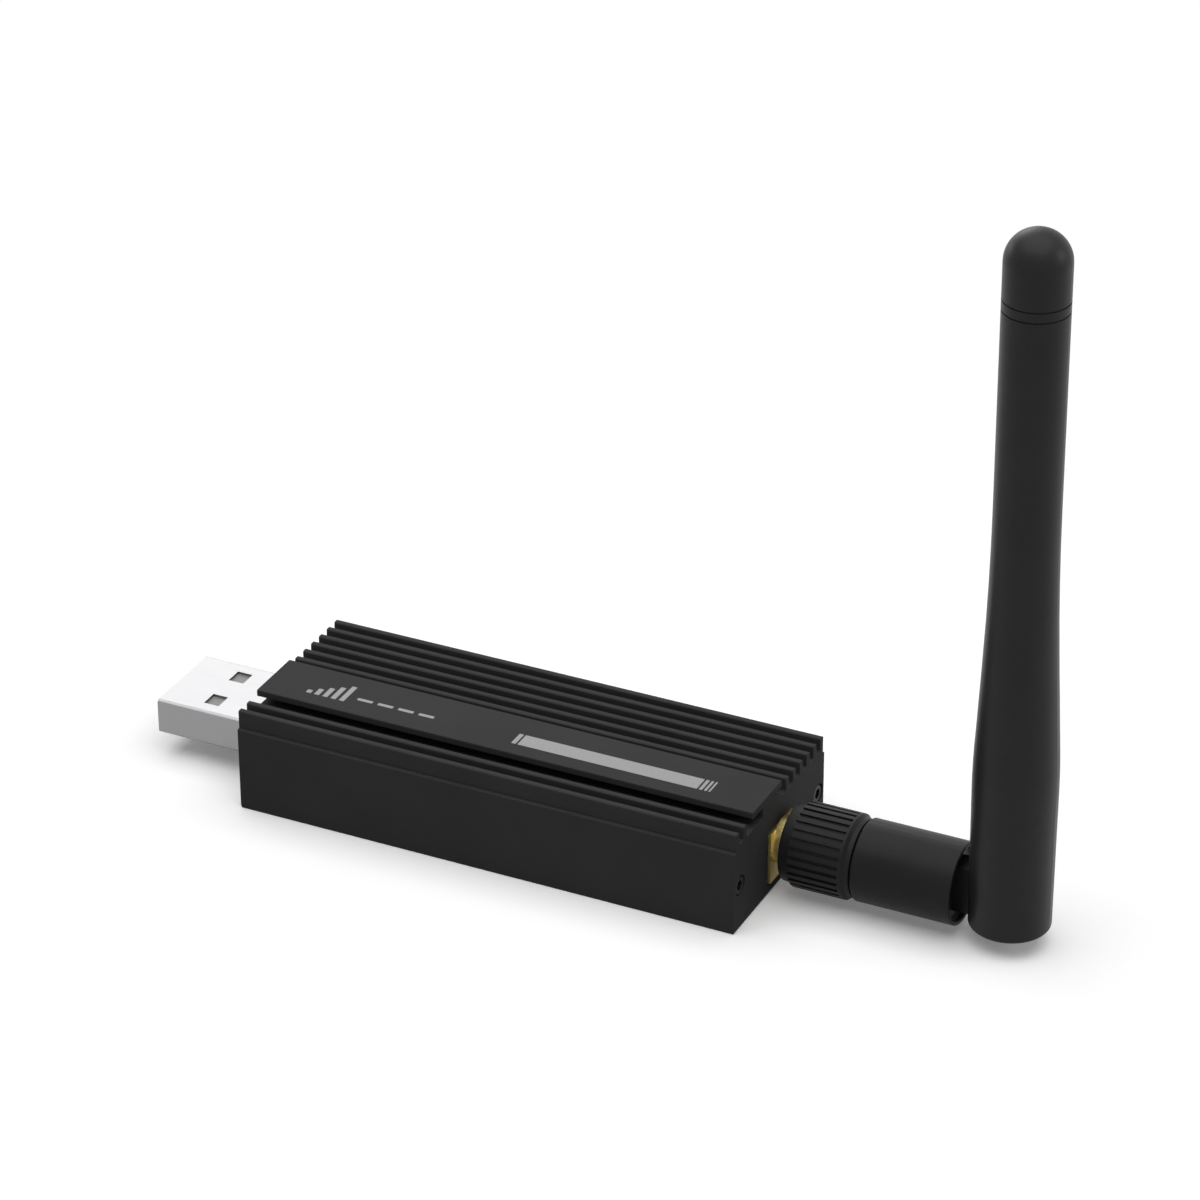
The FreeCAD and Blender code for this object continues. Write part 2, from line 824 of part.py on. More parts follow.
def lug_space():
    """The slot that the lug turns in, open towards the hinge body and below."""
    sweep = lug_sweep
    side = (-lug_slot_half, lug_slot_half)
    far = 3 * rod_radius
    z = antenna_height
    disc = Part.makeCylinder(
        sweep, 2 * lug_slot_half, Vector(pivot_x, -lug_slot_half, z), Vector(0, 1, 0)
    )
    towards_body = block((pivot_x - far, pivot_x), side, (z - sweep, z + sweep))
    below = block((pivot_x - sweep, pivot_x + sweep), side, (z - far, z))
    between = block((pivot_x - far, pivot_x), side, (z - far, z))
    return joined([disc, towards_body, below, between])


def make_lead_in_rod():
    return rod_z(lead_radius, antenna_height + rod_lead_start, rod_lead_top)


def make_radiator_tube():
    outer = rod_bore_radius - radiator_tube_clearance
    tube = rod_z(outer, radiator_tube_bottom, rod_lead_top)
    return tube.cut(rod_z(outer - radiator_tube_wall, radiator_tube_bottom, rod_lead_top))


def make_whip():
    return rod_z(whip_radius, rod_lead_top, whip_top)


def make_whip_spacer():
    top = whip_top - whip_spacer_from_top
    start = top - whip_spacer_length
    disc = rod_z(rod_bore_radius - radiator_tube_clearance, start, top)
    return disc.cut(rod_z(whip_radius, start, top))


save("case_extrusion", make_case())
save("antenna_end_plate", make_antenna_end_plate())
save("usb_end_plate", make_usb_end_plate())
for end_name, end in (("usb", -1), ("antenna", 1)):
    for side_name, side in (("front", -1), ("back", 1)):
        save(end_name + "_end_screw_" + side_name, make_screw(side, end))

plug_contacts = []
for place, setback in zip(contact_places, contact_setbacks):
    plug_contacts.append(make_contact(place, setback))
save("usb_plug_shell", make_plug_shell())
save("usb_plug_core", make_plug_core(plug_contacts))
for number, contact in enumerate(plug_contacts, 1):
    save("usb_contact_" + str(number), contact)

save("circuit_board", make_board())
save("radio_shield_can", make_can())
save("radio_chip", on_board(beside(can_center, radio_chip_from_can), radio_chip_size))
save("radio_crystal", on_board(beside(can_center, radio_crystal_from_can), radio_crystal_size))
save("clock_crystal", on_board(beside(can_center, clock_crystal_from_can), clock_crystal_size))
save("antenna_filter", on_board(beside(can_center, antenna_filter_from_can), antenna_filter_size))
save("usb_bridge_chip", on_board(from_usb_end(bridge_chip_from_end), bridge_chip_size))
save("voltage_regulator", on_board(regulator_at, regulator_size))
save("power_led", on_board(power_led_at, led_size))
save("status_led", on_board(status_led_at, led_size))

capacitor_places = [from_usb_end(place) for place in capacitors_from_usb_end]
capacitor_places = capacitor_places + [beside(regulator_at, place) for place in capacitors_from_regulator]
capacitor_places.append(beside(can_center, capacitor_from_can))
save("capacitors", Part.makeCompound([on_board(p, capacitor_size) for p in capacitor_places]))
resistor_places = [beside(status_led_at, place) for place in resistors_from_status_led]
resistor_places = resistor_places + [from_usb_end(place) for place in resistors_from_usb_end]
resistor_places.append(beside(can_center, resistor_from_can))
save("resistors", Part.makeCompound([on_board(p, resistor_size) for p in resistor_places]))
for name, center in (("reset", reset_switch_at), ("boot", boot_switch_at)):
    save(name + "_switch_body", make_switch_body(center))
    save(name + "_switch_stem", make_switch_stem(center))

save("jack_body", make_jack_body())
save("jack_insulator", make_jack_insulator())
save("jack_contact", make_jack_contact())
save("antenna_nut", make_nut())
save("antenna_nut_grip", make_grip())
save("antenna_ferrule", make_ferrule())
save("antenna_plug_insulator", make_plug_insulator())
save("antenna_plug_pin", make_plug_pin())
save("lead_in_hinge", make_lead_in_hinge())
save("hinge_body", make_hinge_body())
save("pivot_pin", make_pivot_pin())
save("antenna_sheath", make_sheath())
save("lead_in_rod", make_lead_in_rod())
save("radiator_tube", make_radiator_tube())
save("radiator_whip", make_whip())
save("whip_spacer", make_whip_spacer())
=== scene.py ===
import bmesh
import bpy
import math
from mathutils import Matrix, Vector


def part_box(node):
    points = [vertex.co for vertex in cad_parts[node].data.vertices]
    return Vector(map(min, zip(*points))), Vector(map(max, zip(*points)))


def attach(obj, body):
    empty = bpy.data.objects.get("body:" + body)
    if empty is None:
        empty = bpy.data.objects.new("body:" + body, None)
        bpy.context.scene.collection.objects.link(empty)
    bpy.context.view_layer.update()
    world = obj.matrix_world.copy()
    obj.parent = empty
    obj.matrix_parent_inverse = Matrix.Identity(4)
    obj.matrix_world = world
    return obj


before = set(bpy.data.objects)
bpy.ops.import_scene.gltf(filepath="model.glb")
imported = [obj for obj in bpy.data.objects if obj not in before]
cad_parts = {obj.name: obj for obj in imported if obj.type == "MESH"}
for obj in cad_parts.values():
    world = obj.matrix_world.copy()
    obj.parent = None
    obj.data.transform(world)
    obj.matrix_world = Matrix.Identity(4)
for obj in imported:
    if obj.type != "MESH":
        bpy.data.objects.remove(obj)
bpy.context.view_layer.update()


def linear(colour):
    """An sRGB hex colour as linear red, green, blue and alpha."""
    channels = [int(colour[i:i + 2], 16) / 255 for i in (1, 3, 5)]
    return [c / 12.92 if c <= 0.04045 else ((c + 0.055) / 1.055) ** 2.4 for c in channels] + [1.0]


def add_node(tree, kind, settings=None, links=None):
    """Adds a node; settings are sockets or properties by name, links are sockets to fill."""
    item = tree.nodes.new(kind)
    for name, value in (settings or {}).items():
        if isinstance(name, int) or name in item.inputs:
            item.inputs[name].default_value = value
        else:
            setattr(item, name, value)
    for name, source in (links or {}).items():
        tree.links.new(source, item.inputs[name])
    return item


def new_material(name):
    """An empty node material; returns it with its node tree."""
    material = bpy.data.materials.new(name)
    material.use_nodes = True
    material.node_tree.nodes.clear()
    return material, material.node_tree


def add_ramp(tree, factor, *stops):
    """Adds a colour ramp; each of its two stops is a position and an sRGB hex colour."""
    ramp = add_node(tree, "ShaderNodeValToRGB", None, {"Fac": factor})
    for element, (position, colour) in zip(ramp.color_ramp.elements, stops):
        element.position = position
        element.color = linear(colour)
    return ramp


def add_surface(tree, settings, links):
    """Adds the shader of an object's surface and joins it to the material's output."""
    shader = add_node(tree, "ShaderNodeBsdfPrincipled", settings, links)
    add_node(tree, "ShaderNodeOutputMaterial", None, {"Surface": shader.outputs[0]})


def dress(nodes, material):
    """Gives CAD nodes a material."""
    for name in nodes:
        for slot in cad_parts[name].material_slots:
            slot.material = material


# The camera looks down on the stick from its front antenna corner, through a long lens, so that
# the case runs away to the left and the rod stands upright at the right.
lens_length = 146.67
camera_place = (0.22235, -0.43624, 0.30318)
heading, tilt, roll = (math.radians(angle) for angle in (26.038, 60.785, -0.279))
camera_data = bpy.data.cameras.new("camera")
camera_data.sensor_width = 36.0
camera_data.lens = lens_length
camera_data.clip_end = 20.0
camera = bpy.data.objects.new("camera", camera_data)
camera.location = camera_place
turn = Matrix.Rotation(heading, 3, "Z") @ Matrix.Rotation(tilt, 3, "X")
camera.rotation_euler = (turn @ Matrix.Rotation(roll, 3, "Z")).to_euler()
bpy.context.scene.collection.objects.link(camera)
bpy.context.scene.camera = camera
bpy.context.scene.view_settings.view_transform = "Standard"


# The studio is a white paper floor without a horizon. The paper is shaded by the stick, with a
# little light of its own that keeps it white, and away from that soft shadow it turns into the
# white backdrop. It lies just below the case's bottom face, so that the two never share a plane.
shaded_within, white_beyond = 0.07, 0.2
paper_fill = 0.13
floor_size = 4.0
floor_drop = 0.00002
room_light = 0.23
paper, tree = new_material("studio_paper")
path = add_node(tree, "ShaderNodeLightPath")
seen = add_node(
    tree, "ShaderNodeMath", {"operation": "MAXIMUM"},
    {0: path.outputs["Is Camera Ray"], 1: path.outputs["Is Glossy Ray"]},
)
bounced = add_node(tree, "ShaderNodeBsdfDiffuse", {"Color": linear("#a4a4a4")})
shaded = add_node(tree, "ShaderNodeBsdfDiffuse", {"Color": linear("#ffffff")})
glow = add_node(tree, "ShaderNodeEmission", {"Color": linear("#ffffff"), "Strength": 1.0})
place = add_node(tree, "ShaderNodeTexCoord").outputs["Object"]
away = add_node(tree, "ShaderNodeVectorMath", {"operation": "LENGTH"}, {0: place})
backdrop = add_node(
    tree, "ShaderNodeMapRange", {"From Min": shaded_within, "From Max": white_beyond},
    {"Value": away.outputs["Value"]},
)
fill = add_node(tree, "ShaderNodeEmission", {"Color": linear("#ffffff"), "Strength": paper_fill})
filled = add_node(tree, "ShaderNodeAddShader", None, {0: shaded.outputs[0], 1: fill.outputs[0]})
direct = add_node(
    tree, "ShaderNodeMixShader", None,
    {0: backdrop.outputs[0], 1: filled.outputs[0], 2: glow.outputs[0]},
)
mixed = add_node(
    tree, "ShaderNodeMixShader", None,
    {0: seen.outputs[0], 1: bounced.outputs[0], 2: direct.outputs[0]},
)
add_node(tree, "ShaderNodeOutputMaterial", None, {"Surface": mixed.outputs[0]})

bm = bmesh.new()
bmesh.ops.create_grid(
    bm, x_segments=1, y_segments=1, size=floor_size, matrix=Matrix.Translation((0, 0, -floor_drop)),
)
mesh = bpy.data.meshes.new("studio_floor")
bm.to_mesh(mesh)
bm.free()
floor = bpy.data.objects.new("studio_floor", mesh)
floor.data.materials.append(paper)
bpy.context.scene.collection.objects.link(floor)

# Light comes from a wide soft box overhead and from the white room round it, so the faces that
# look up are clearly lighter than the upright ones. A box at the right lights the end plate and
# the edge of the rod, and the two at the left show only as a sheen in the glossy faces.
world = bpy.data.worlds.new("white_room")
bpy.context.scene.world = world
world.use_nodes = True
tree = world.node_tree
tree.nodes.clear()
path = add_node(tree, "ShaderNodeLightPath")
straight = add_node(
    tree, "ShaderNodeMath", {"operation": "MAXIMUM"},
    {0: path.outputs["Is Camera Ray"], 1: path.outputs["Is Transmission Ray"]},
)
seen = add_node(
    tree, "ShaderNodeMath", {"operation": "MAXIMUM"},
    {0: straight.outputs[0], 1: path.outputs["Is Glossy Ray"]},
)
strength = add_node(
    tree, "ShaderNodeMapRange", {"To Min": room_light, "To Max": 1.0}, {"Value": seen.outputs[0]},
)
room = add_node(
    tree, "ShaderNodeBackground", {"Color": linear("#ffffff")}, {"Strength": strength.outputs[0]},
)
add_node(tree, "ShaderNodeOutputWorld", None, {"Surface": room.outputs[0]})

for name, place, size, power, lights_faces in (
    ("overhead_box", (0.0, -0.07, 0.75), (1.15, 0.95), 6.1, True),
    ("back_left_box", (-0.56, 0.75, 0.46), (0.55, 0.5), 2.4, False),
    ("left_box", (-0.95, 0.3, 0.2), (0.5, 0.22), 1.0, False),
    ("right_box", (1.0, 0.32, 0.42), (0.45, 0.45), 2.2, True),
):
    lamp_data = bpy.data.lights.new(name, "AREA")
    lamp_data.shape = "RECTANGLE"
    lamp_data.size, lamp_data.size_y = size
    lamp_data.energy = power
    lamp = bpy.data.objects.new(name, lamp_data)
    lamp.location = place
    lamp.visible_diffuse = lights_faces
    lamp.rotation_euler = (Vector((0, 0, 0.01)) - Vector(place)).to_track_quat("-Z", "Y").to_euler()
    bpy.context.scene.collection.objects.link(lamp)


# The case is one length of extruded aluminium with two cut end plates, all bead blasted and black
# anodised: a deep even black with a faint sparkle of grain and drawn lines along the stick.
anodised, tree = new_material("black_anodised_aluminium")
place = add_node(tree, "ShaderNodeTexCoord").outputs["Object"]
along = add_node(tree, "ShaderNodeMapping", {"Scale": (60, 5000, 5000)}, {"Vector": place})
drawn = add_node(
    tree, "ShaderNodeTexNoise", {"Scale": 1.0, "Detail": 3.0}, {"Vector": along.outputs[0]},
)
blasted = add_node(tree, "ShaderNodeTexNoise", {"Scale": 4500.0, "Detail": 2.0}, {"Vector": place})
grain = add_node(
    tree, "ShaderNodeMath", {"operation": "MULTIPLY_ADD", 1: 0.35},
    {0: drawn.outputs[0], 2: blasted.outputs[0]},
)
cloud = add_node(tree, "ShaderNodeTexNoise", {"Scale": 90.0, "Detail": 3.0}, {"Vector": place})
tone = add_ramp(tree, cloud.outputs[0], (0.3, "#3b3b3c"), (0.7, "#3f3f40"))
gloss = add_node(
    tree, "ShaderNodeMapRange", {"To Min": 0.62, "To Max": 0.74}, {"Value": blasted.outputs[0]},
)
bump = add_node(
    tree, "ShaderNodeBump", {"Strength": 0.25, "Distance": 0.00002}, {"Height": grain.outputs[0]},
)
add_surface(
    tree, {"Specular IOR Level": 0.025},
    {"Base Color": tone.outputs[0], "Roughness": gloss.outputs[0], "Normal": bump.outputs[0]},
)
dress(["case_extrusion", "antenna_end_plate", "usb_end_plate"], anodised)


# The raised plate carries pale grey screen printing, a thin film of ink: a solid label bar between
# narrow strokes towards the antenna, and a row of rising signal bars with a dashed line by the
# plug. Their places are in millimetres.
ink, tree = new_material("grey_screen_ink")
place = add_node(tree, "ShaderNodeTexCoord").outputs["Object"]
weave = add_node(tree, "ShaderNodeTexNoise", {"Scale": 7000.0, "Detail": 2.0}, {"Vector": place})
film = add_ramp(tree, weave.outputs[0], (0.25, "#909090"), (0.6, "#9b9b9b"))
bump = add_node(
    tree, "ShaderNodeBump", {"Strength": 0.2, "Distance": 0.000005}, {"Height": weave.outputs[0]},
)
add_surface(
    tree, {"Roughness": 0.55, "Specular IOR Level": 0.3},
    {"Base Color": film.outputs[0], "Normal": bump.outputs[0]},
)

plate_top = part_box("case_extrusion")[1][2]
ink_thickness = 0.00001
print_corner_radius = 0.00008
label_front, label_back = -5.6, -3.33
dash_front, dash_back = -4.65, -4.15
bar_width = 0.65
label_strokes = [(0.44, 1.0), (1.25, 24.05), (24.29, 24.7), (24.93, 25.24), (25.48, 25.7)]
signal_bars = [(-26.6, -4.9), (-25.5, -4.2), (-24.4, -3.5), (-23.3, -2.8), (-22.2, -2.1)]
dashes = [(-20.3, -18.3), (-17.6, -15.6), (-14.9, -12.9), (-12.2, -10.2)]
prints = [(x0, x1, label_front, label_back) for x0, x1 in label_strokes]
prints += [(x, x + bar_width, label_front, top) for x, top in signal_bars]
prints += [(x0, x1, dash_front, dash_back) for x0, x1 in dashes]
bm = bmesh.new()
for x0, x1, y0, y1 in prints:
    middle = Matrix.Translation(((x0 + x1) / 2000, (y0 + y1) / 2000, plate_top))
    size = Matrix.Diagonal(((x1 - x0) / 1000, (y1 - y0) / 1000, 1, 1))
    made = bmesh.ops.create_grid(bm, x_segments=1, y_segments=1, size=0.5, matrix=middle @ size)
    bmesh.ops.bevel(
        bm, geom=made["verts"], affect="VERTICES", offset=print_corner_radius,
        offset_type="OFFSET", segments=3, profile=0.5, material=-1,
    )
raised = bmesh.ops.extrude_face_region(bm, geom=bm.faces[:])
moved = [item for item in raised["geom"] if isinstance(item, bmesh.types.BMVert)]
bmesh.ops.translate(bm, verts=moved, vec=(0, 0, ink_thickness))
bmesh.ops.recalc_face_normals(bm, faces=bm.faces[:])
mesh = bpy.data.meshes.new("plate_prints")
bm.to_mesh(mesh)
bm.free()
mesh.materials.append(ink)
plate_prints = bpy.data.objects.new("plate_prints", mesh)
bpy.context.scene.collection.objects.link(plate_prints)
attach(plate_prints, "case")


# Each end plate is held by two small socket head screws of hardened steel with a black oxide
# finish, slightly oily and mottled.
oxide, tree = new_material("black_oxide_steel")
place = add_node(tree, "ShaderNodeTexCoord").outputs["Object"]
mottle = add_node(tree, "ShaderNodeTexNoise", {"Scale": 2500.0, "Detail": 3.0}, {"Vector": place})
tone = add_ramp(tree, mottle.outputs[0], (0.3, "#262628"), (0.75, "#3a3a3d"))
bump = add_node(
    tree, "ShaderNodeBump", {"Strength": 0.15, "Distance": 0.00001}, {"Height": mottle.outputs[0]},
)
add_surface(
    tree, {"Metallic": 1.0, "Roughness": 0.5},
    {"Base Color": tone.outputs[0], "Normal": bump.outputs[0]},
)
for end in ("usb", "antenna"):
    dress([end + "_end_screw_front", end + "_end_screw_back"], oxide)


# The plug's shell is folded from 0.3 mm sheet steel and nickel plated. The two edges of the sheet
# meet in a seam along its underside. The pin in the pivot of the rod has the same plating.
seam_half_width = 0.00005
seam_below = 0.0031
nickel, tree = new_material("nickel_plated_steel")
place = add_node(tree, "ShaderNodeTexCoord").outputs["Object"]
rolled_at = add_node(tree, "ShaderNodeMapping", {"Scale": (150, 4000, 4000)}, {"Vector": place})
rolled = add_node(
    tree, "ShaderNodeTexNoise", {"Scale": 1.0, "Detail": 2.0}, {"Vector": rolled_at.outputs[0]},
)
gloss = add_node(
    tree, "ShaderNodeMapRange", {"To Min": 0.26, "To Max": 0.38}, {"Value": rolled.outputs[0]},
)
across = add_node(tree, "ShaderNodeSeparateXYZ", None, {"Vector": place})
from_seam = add_node(tree, "ShaderNodeMath", {"operation": "ABSOLUTE"}, {0: across.outputs["Y"]})
on_seam = add_node(
    tree, "ShaderNodeMath", {"operation": "LESS_THAN", 1: seam_half_width},
    {0: from_seam.outputs[0]},
)
below = add_node(
    tree, "ShaderNodeMath", {"operation": "LESS_THAN", 1: seam_below}, {0: across.outputs["Z"]},
)
seam = add_node(
    tree, "ShaderNodeMath", {"operation": "MULTIPLY"}, {0: on_seam.outputs[0], 1: below.outputs[0]},
)
tone = add_ramp(tree, seam.outputs[0], (0.0, "#909091"), (1.0, "#38383a"))
bump = add_node(
    tree, "ShaderNodeBump", {"Strength": 0.1, "Distance": 0.00001}, {"Height": rolled.outputs[0]},
)
add_surface(
    tree, {"Metallic": 1.0},
    {"Base Color": tone.outputs[0], "Roughness": gloss.outputs[0], "Normal": bump.outputs[0]},
)
dress(["usb_plug_shell", "pivot_pin"], nickel)


# The core of the plug is injection moulded in grey glass-filled nylon, and the bodies of the two
# switches in the same plastic in black: semi-matt, with the flow marks that the fibres leave.
for name, nodes, dark, pale in (
    ("grey", ["usb_plug_core"], "#7b7b7a", "#868685"),
    ("black", ["reset_switch_body", "boot_switch_body"], "#161617", "#2a2a2b"),
):
    nylon, tree = new_material(name + "_glass_filled_nylon")
    place = add_node(tree, "ShaderNodeTexCoord").outputs["Object"]
    flow_at = add_node(tree, "ShaderNodeMapping", {"Scale": (400, 1500, 1500)}, {"Vector": place})
    flow = add_node(
        tree, "ShaderNodeTexNoise", {"Scale": 1.0, "Detail": 5.0, "Distortion": 0.6},
        {"Vector": flow_at.outputs[0]},
    )
    tone = add_ramp(tree, flow.outputs[0], (0.35, dark), (0.75, pale))
    bump = add_node(
        tree, "ShaderNodeBump", {"Strength": 0.2, "Distance": 0.00001}, {"Height": flow.outputs[0]},
    )
    add_surface(
        tree, {"Roughness": 0.48, "Specular IOR Level": 0.4},
        {"Base Color": tone.outputs[0], "Normal": bump.outputs[0]},
    )
    dress(nodes, nylon)


# Four strips of phosphor bronze lie on the tongue. They are stamped, bent and gold plated, and the
# plating has fine wiping marks along the strip. The jack's contact and the plug pin match them.
gold, tree = new_material("gold_plated_bronze")
place = add_node(tree, "ShaderNodeTexCoord").outputs["Object"]
wiped_at = add_node(tree, "ShaderNodeMapping", {"Scale": (120, 9000, 9000)}, {"Vector": place})
wiped = add_node(
    tree, "ShaderNodeTexNoise", {"Scale": 1.0, "Detail": 2.0}, {"Vector": wiped_at.outputs[0]},
)
tone = add_ramp(tree, wiped.outputs[0], (0.3, "#c79b45"), (0.7, "#dfb75f"))
gloss = add_node(
    tree, "ShaderNodeMapRange", {"To Min": 0.18, "To Max": 0.34}, {"Value": wiped.outputs[0]},
)
add_surface(tree, {"Metallic": 1.0}, {"Base Color": tone.outputs[0], "Roughness": gloss.outputs[0]})
dress(["usb_contact_%d" % number for number in (1, 2, 3, 4)], gold)
dress(["jack_contact", "antenna_plug_pin"], gold)


# The circuit board is 1.6 mm glass epoxy laminate: yellow-green glass cloth at its sawn edges, and
# dark green solder mask over copper tracks that run along and across it on both faces.
mask_depth = 0.00004
laminate, tree = new_material("solder_masked_laminate")
board_low, board_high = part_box("circuit_board")
place = add_node(tree, "ShaderNodeTexCoord").outputs["Object"]
cells = add_node(tree, "ShaderNodeMapping", {"Scale": (900, 420, 1)}, {"Vector": place})
tracks = add_node(
    tree, "ShaderNodeTexVoronoi",
    {"Scale": 1.0, "Randomness": 0.55, "distance": "CHEBYCHEV", "feature": "F1"},
    {"Vector": cells.outputs[0]},
)
raised_copper = add_node(
    tree, "ShaderNodeMath", {"operation": "GREATER_THAN", 1: 0.36}, {0: tracks.outputs["Distance"]},
)
mask = add_ramp(tree, raised_copper.outputs[0], (0.0, "#0d2c1c"), (1.0, "#164a2f"))
cloth = add_node(
    tree, "ShaderNodeTexWave", {"Scale": 900.0, "Distortion": 1.5, "bands_direction": "Z"},
    {"Vector": place},
)
glass = add_ramp(tree, cloth.outputs[0], (0.0, "#8b8a55"), (1.0, "#b4b27c"))
height = add_node(tree, "ShaderNodeSeparateXYZ", None, {"Vector": place})
off_middle = add_node(
    tree, "ShaderNodeMath", {"operation": "SUBTRACT", 1: (board_low[2] + board_high[2]) / 2},
    {0: height.outputs["Z"]},
)
depth = add_node(tree, "ShaderNodeMath", {"operation": "ABSOLUTE"}, {0: off_middle.outputs[0]})
on_face = add_node(
    tree, "ShaderNodeMath",
    {"operation": "GREATER_THAN", 1: (board_high[2] - board_low[2]) / 2 - mask_depth},
    {0: depth.outputs[0]},
)
tone = add_node(
    tree, "ShaderNodeMixRGB", None,
    {0: on_face.outputs[0], 1: glass.outputs[0], 2: mask.outputs[0]},
)
gloss = add_node(
    tree, "ShaderNodeMapRange", {"To Min": 0.75, "To Max": 0.3}, {"Value": on_face.outputs[0]},
)
bump = add_node(
    tree, "ShaderNodeBump", {"Strength": 0.4, "Distance": 0.00003},
    {"Height": raised_copper.outputs[0]},
)
add_surface(
    tree, {"Specular IOR Level": 0.5},
    {"Base Color": tone.outputs[0], "Roughness": gloss.outputs[0], "Normal": bump.outputs[0]},
)
dress(["circuit_board"], laminate)


# A drawn can of tinned steel shields the radio, and the two crystals have lids of the same sheet.
# Tin dulls to a soft grey with cloudy patches and the rolling direction showing through.
tin, tree = new_material("tinned_steel")
place = add_node(tree, "ShaderNodeTexCoord").outputs["Object"]
rolled_at = add_node(tree, "ShaderNodeMapping", {"Scale": (200, 3500, 3500)}, {"Vector": place})
rolled = add_node(
    tree, "ShaderNodeTexNoise", {"Scale": 1.0, "Detail": 2.0}, {"Vector": rolled_at.outputs[0]},
)
patches = add_node(tree, "ShaderNodeTexNoise", {"Scale": 300.0, "Detail": 4.0}, {"Vector": place})
tone = add_ramp(tree, patches.outputs[0], (0.35, "#b3b3b0"), (0.7, "#d2d2cf"))
gloss = add_node(
    tree, "ShaderNodeMapRange", {"To Min": 0.3, "To Max": 0.5}, {"Value": rolled.outputs[0]},
)
bump = add_node(
    tree, "ShaderNodeBump", {"Strength": 0.15, "Distance": 0.00001}, {"Height": rolled.outputs[0]},
)
add_surface(
    tree, {"Metallic": 1.0},
    {"Base Color": tone.outputs[0], "Roughness": gloss.outputs[0], "Normal": bump.outputs[0]},
)
dress(["radio_shield_can", "radio_crystal", "clock_crystal"], tin)


# The chips are moulded in black epoxy with fused silica filler: a fine matt grain, and a round dot
# by the corner of the first pin, which the laser has turned grey.
dot_radius = 0.00025
dot_from_edge = 0.0006
for chip in ("radio_chip", "usb_bridge_chip", "voltage_regulator"):
    low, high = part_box(chip)
    epoxy, tree = new_material("moulded_epoxy_of_" + chip)
    place = add_node(tree, "ShaderNodeTexCoord").outputs["Object"]
    dot_at = (-low[0] - dot_from_edge, -high[1] + dot_from_edge, -high[2])
    from_dot = add_node(tree, "ShaderNodeMapping", {"Location": dot_at}, {"Vector": place})
    reach = add_node(
        tree, "ShaderNodeVectorMath", {"operation": "LENGTH"}, {0: from_dot.outputs[0]},
    )
    marked = add_node(
        tree, "ShaderNodeMath", {"operation": "LESS_THAN", 1: dot_radius},
        {0: reach.outputs["Value"]},
    )
    filler = add_node(
        tree, "ShaderNodeTexNoise", {"Scale": 9000.0, "Detail": 2.0}, {"Vector": place},
    )
    level = add_node(
        tree, "ShaderNodeMath", {"operation": "MULTIPLY_ADD", 1: 0.25},
        {0: filler.outputs[0], 2: marked.outputs[0]},
    )
    tone = add_ramp(tree, level.outputs[0], (0.0, "#1d1e20"), (1.0, "#77787a"))
    bump = add_node(
        tree, "ShaderNodeBump", {"Strength": 0.3, "Distance": 0.00001},
        {"Height": filler.outputs[0]},
    )
    add_surface(
        tree, {"Roughness": 0.6, "Specular IOR Level": 0.4},
        {"Base Color": tone.outputs[0], "Normal": bump.outputs[0]},
    )
    dress([chip], epoxy)


# The capacitors are tan barium titanate, the antenna filter a white glass ceramic and the resistors
# black glazed alumina. All are sintered, so they have a fine even speckle.
for name, dark, pale, roughness in (
    ("capacitors", "#8a6a48", "#a98a63", 0.45),
    ("antenna_filter", "#cfccc2", "#e4e2da", 0.5),
    ("resistors", "#1b1b1c", "#2e2e30", 0.3),
):
    ceramic, tree = new_material("sintered_ceramic_of_" + name)
    place = add_node(tree, "ShaderNodeTexCoord").outputs["Object"]
    speckle = add_node(
        tree, "ShaderNodeTexNoise", {"Scale": 6000.0, "Detail": 3.0}, {"Vector": place},
    )
    tone = add_ramp(tree, speckle.outputs[0], (0.35, dark), (0.65, pale))
    bump = add_node(
        tree, "ShaderNodeBump", {"Strength": 0.2, "Distance": 0.00001},
        {"Height": speckle.outputs[0]},
    )
    add_surface(
        tree, {"Roughness": roughness}, {"Base Color": tone.outputs[0], "Normal": bump.outputs[0]},
    )
    dress([name], ceramic)


# The two lights are blocks of clear tinted epoxy, red for power and green for status, with a paler
# cloud over the die in the middle.
cloud_falloff = 1500.0
for name, tint, middle_tint in (
    ("power_led", "#c9352a", "#f0a090"),
    ("status_led", "#4fae3c", "#b9e59c"),
):
    low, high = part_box(name)
    lens, tree = new_material("tinted_epoxy_of_" + name)
    place = add_node(tree, "ShaderNodeTexCoord").outputs["Object"]
    middle = [-(low[i] + high[i]) / 2 for i in range(3)]
    from_die = add_node(tree, "ShaderNodeMapping", {"Location": middle}, {"Vector": place})
    reach = add_node(
        tree, "ShaderNodeVectorMath", {"operation": "LENGTH"}, {0: from_die.outputs[0]},
    )
    share = add_node(
        tree, "ShaderNodeMath", {"operation": "MULTIPLY", 1: cloud_falloff},
        {0: reach.outputs["Value"]},
    )
    tone = add_ramp(tree, share.outputs[0], (0.4, middle_tint), (1.0, tint))
    add_surface(tree, {"Roughness": 0.15, "Coat Weight": 0.3}, {"Base Color": tone.outputs[0]})
    dress([name], lens)


# The stems of the reset and boot switches are moulded in grey acetal: waxy, with a faint mottle.
acetal, tree = new_material("grey_moulded_acetal")
place = add_node(tree, "ShaderNodeTexCoord").outputs["Object"]
mottle = add_node(tree, "ShaderNodeTexNoise", {"Scale": 2500.0, "Detail": 3.0}, {"Vector": place})
tone = add_ramp(tree, mottle.outputs[0], (0.3, "#8b8c8d"), (0.7, "#9b9c9d"))
bump = add_node(
    tree, "ShaderNodeBump", {"Strength": 0.15, "Distance": 0.00001}, {"Height": mottle.outputs[0]},
)
add_surface(
    tree, {"Roughness": 0.35, "IOR": 1.48},
    {"Base Color": tone.outputs[0], "Normal": bump.outputs[0]},
)
dress(["reset_switch_stem", "boot_switch_stem"], acetal)


